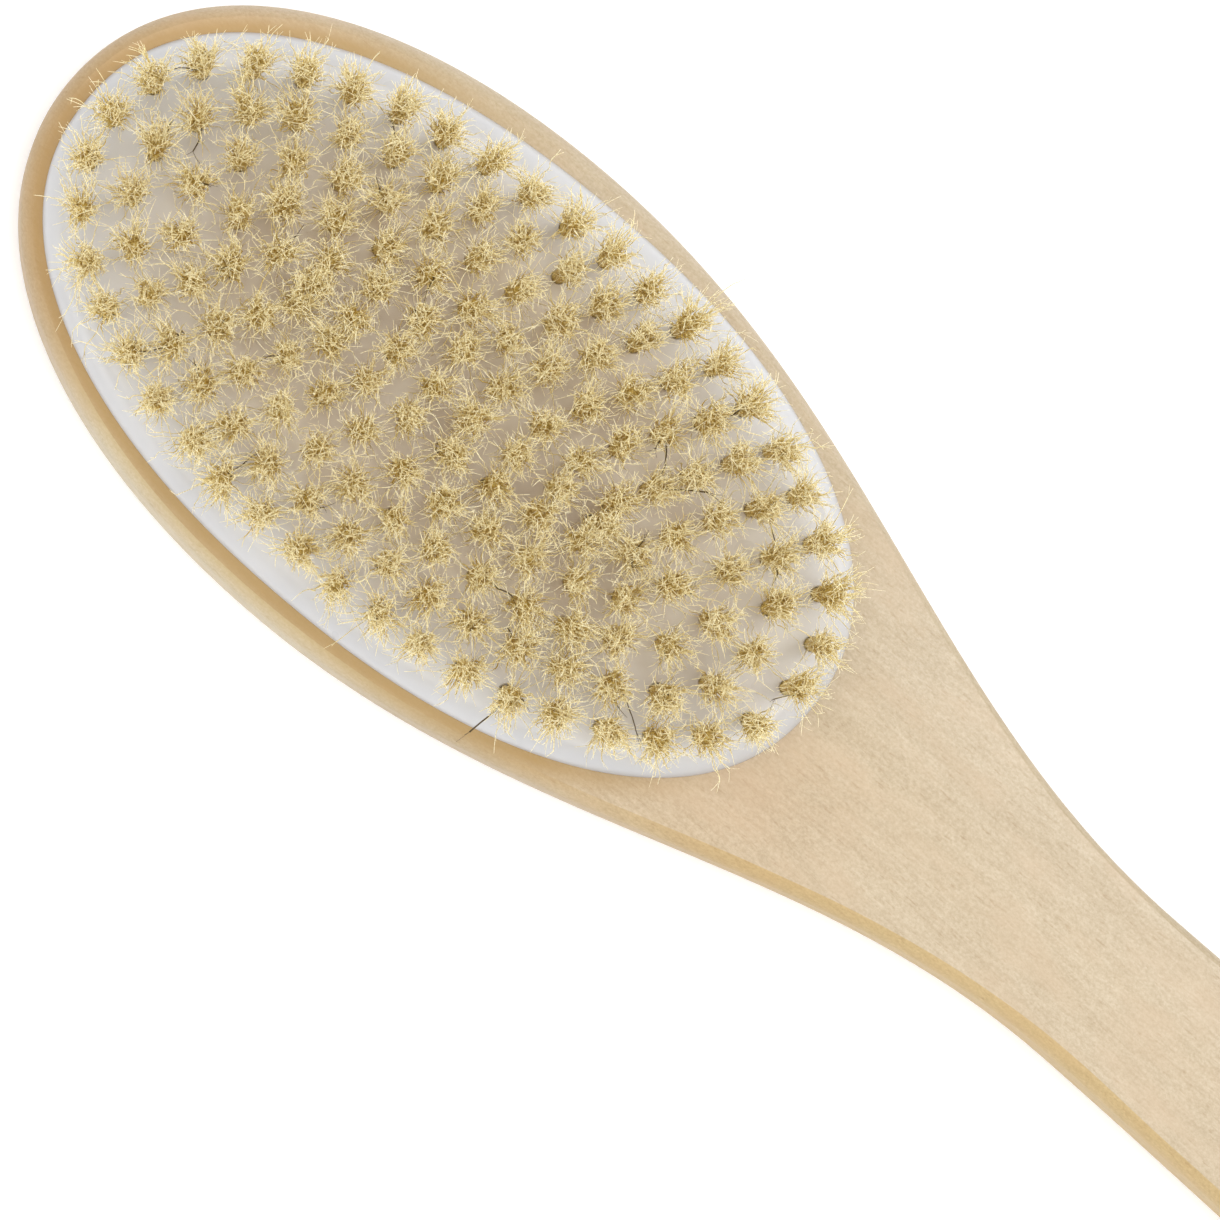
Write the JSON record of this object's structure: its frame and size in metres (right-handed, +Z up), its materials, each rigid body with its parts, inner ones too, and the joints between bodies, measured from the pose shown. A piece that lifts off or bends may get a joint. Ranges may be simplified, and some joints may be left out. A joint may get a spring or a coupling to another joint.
{
  "type": "body brush",
  "caption": "Long-handled wooden body brush: an oval head with a white bristle plate glued in its recess, and natural bristle tufts drawn through it in concentric rings.",
  "frame": {"origin": "under the middle of the brush's length and width, on the surface that its flat back lies on", "axes": "+X along the brush from the head's tip to the end of the handle, +Y across it, +Z up out of the bristle side"},
  "size_m": [0.4, 0.0742, 0.0369],
  "materials": {
    "wood": "plain sanded, unvarnished",
    "white_plastic": "satin",
    "glue": "dull",
    "bristle": "natural bristle, golden at the root and pale at the tip"
  },
  "bodies": {
    "root": {"wooden_body": "wood", "glue_bed": "glue", "bristle_plate": "white_plastic", "tuft_strip_ring1_1": "bristle", "tuft_strip_ring1_2": "bristle", "tuft_strip_ring1_3": "bristle", "tuft_strip_ring1_4": "bristle", "tuft_strip_ring1_5": "bristle", "tuft_strip_ring1_6": "bristle", "tuft_strip_ring1_7": "bristle", "tuft_strip_ring2_1": "bristle", "tuft_strip_ring2_2": "bristle", "tuft_strip_ring2_3": "bristle", "tuft_strip_ring2_4": "bristle", "tuft_strip_ring2_5": "bristle", "tuft_strip_ring2_6": "bristle", "tuft_strip_ring3_1": "bristle", "tuft_strip_ring3_2": "bristle", "tuft_strip_ring3_3": "bristle", "tuft_strip_ring3_4": "bristle", "tuft_strip_ring3_5": "bristle", "tuft_strip_ring4_1": "bristle", "tuft_strip_ring4_2": "bristle", "tuft_strip_ring4_3": "bristle", "tuft_strip_ring4_4": "bristle", "tuft_strip_ring5_1": "bristle", "tuft_strip_ring5_2": "bristle", "tuft_strip_ring5_3": "bristle", "tuft_strip_centre_1": "bristle", "tuft_strip_centre_2": "bristle"}
  },
  "joints": []
}
